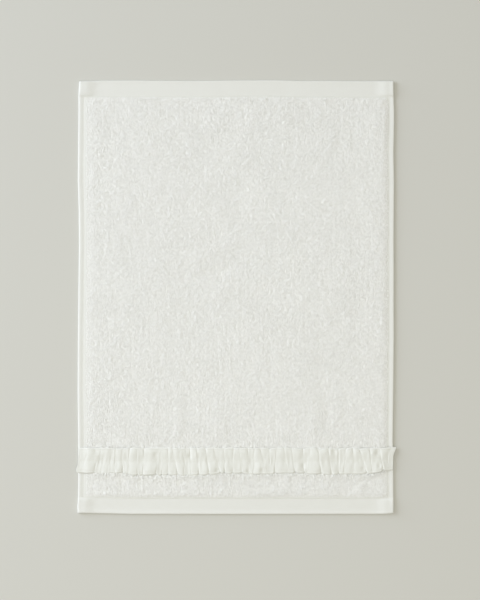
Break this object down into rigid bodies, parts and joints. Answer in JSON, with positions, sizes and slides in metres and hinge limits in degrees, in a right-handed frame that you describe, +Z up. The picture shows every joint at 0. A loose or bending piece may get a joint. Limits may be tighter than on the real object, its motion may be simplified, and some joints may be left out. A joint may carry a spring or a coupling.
{
  "type": "hand towel",
  "caption": "Flat terry hand towel with smooth woven hems and a gathered frill sewn across it near one end.",
  "frame": {"origin": "on the surface the towel lies on, under the middle of its bounding box", "axes": "+X across the towel's width, +Y along its length towards the plain end, away from the frill, +Z up through its thickness"},
  "size_m": [0.507, 0.6879, 0.0079],
  "materials": {
    "terry_cotton": "looped cotton pile, matt, off-white",
    "frill_cotton": "thin plain-weave cotton, matt, off-white, slightly creamier"
  },
  "bodies": {
    "root": {"towel": "terry_cotton", "frill": "frill_cotton"}
  },
  "joints": []
}
